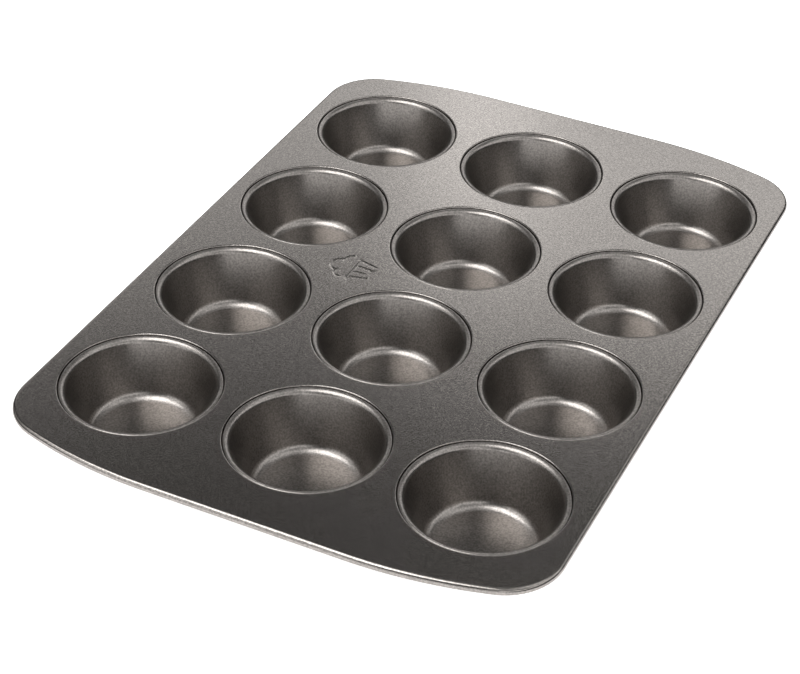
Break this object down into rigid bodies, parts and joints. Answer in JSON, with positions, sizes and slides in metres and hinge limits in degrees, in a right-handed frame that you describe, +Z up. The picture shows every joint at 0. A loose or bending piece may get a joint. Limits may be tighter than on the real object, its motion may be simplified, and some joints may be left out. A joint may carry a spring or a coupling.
{
  "type": "muffin tin",
  "caption": "Flat rectangular muffin tin of dark coated steel, with tapered round cups seamed into a rolled-edge frame sheet.",
  "frame": {"origin": "centre of the footprint, on the surface that the cups' undersides rest on", "axes": "+X along the tin's short side, +Y along its long side, +Z up out of the cups"},
  "size_m": [0.259, 0.3708, 0.0277],
  "materials": {
    "nonstick_coating": "satin dark grey metallic non-stick coating",
    "wire_steel": "plain drawn wire"
  },
  "bodies": {
    "root": {"frame_sheet": "nonstick_coating", "rim_wire": "wire_steel", "cup_1_1": "nonstick_coating", "cup_1_2": "nonstick_coating", "cup_1_3": "nonstick_coating", "cup_1_4": "nonstick_coating", "cup_2_1": "nonstick_coating", "cup_2_2": "nonstick_coating", "cup_2_3": "nonstick_coating", "cup_2_4": "nonstick_coating", "cup_3_1": "nonstick_coating", "cup_3_2": "nonstick_coating", "cup_3_3": "nonstick_coating", "cup_3_4": "nonstick_coating"}
  },
  "joints": []
}
